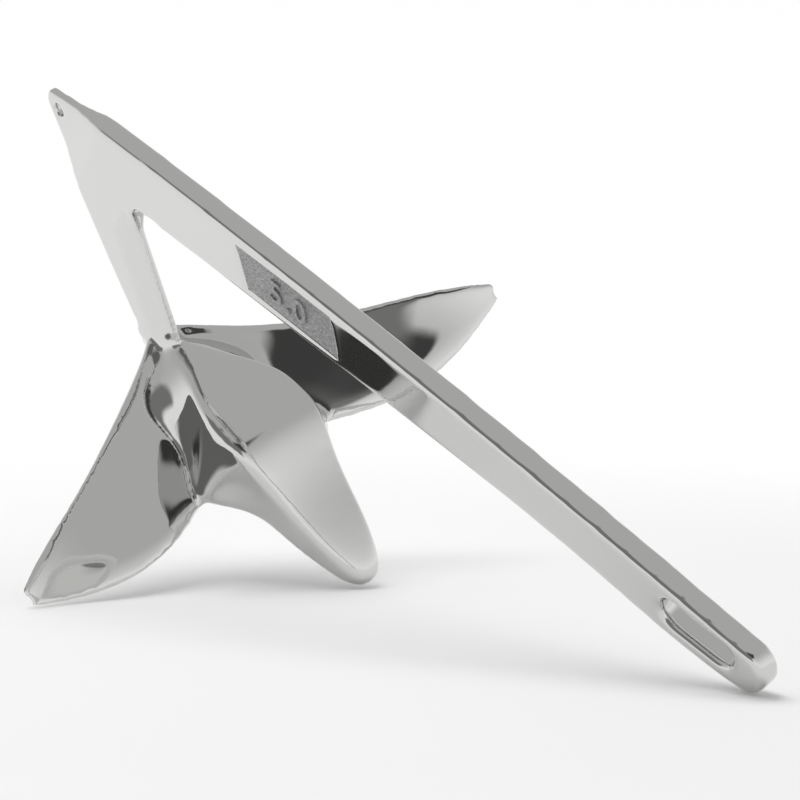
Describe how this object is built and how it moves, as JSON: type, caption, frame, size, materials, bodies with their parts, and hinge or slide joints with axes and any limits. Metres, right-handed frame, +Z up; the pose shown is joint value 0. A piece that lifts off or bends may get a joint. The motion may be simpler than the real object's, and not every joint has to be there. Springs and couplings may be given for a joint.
{
  "type": "claw anchor",
  "caption": "Polished claw anchor cast in one piece, with a long slotted shank, a slanted arm, side flukes that sweep up to points and a middle fluke that reaches down.",
  "frame": {"origin": "centre of the footprint of the resting anchor, on the surface it rests on", "axes": "+Z up from the surface; +X along the shank's plane, level, towards the nose; +Y from the side with the recessed panel towards the plain side"},
  "size_m": [0.363, 0.2466, 0.218],
  "materials": {
    "polished_steel": "mirror-polished cast stainless steel"
  },
  "bodies": {
    "root": {"claw_anchor": "polished_steel"}
  },
  "joints": []
}
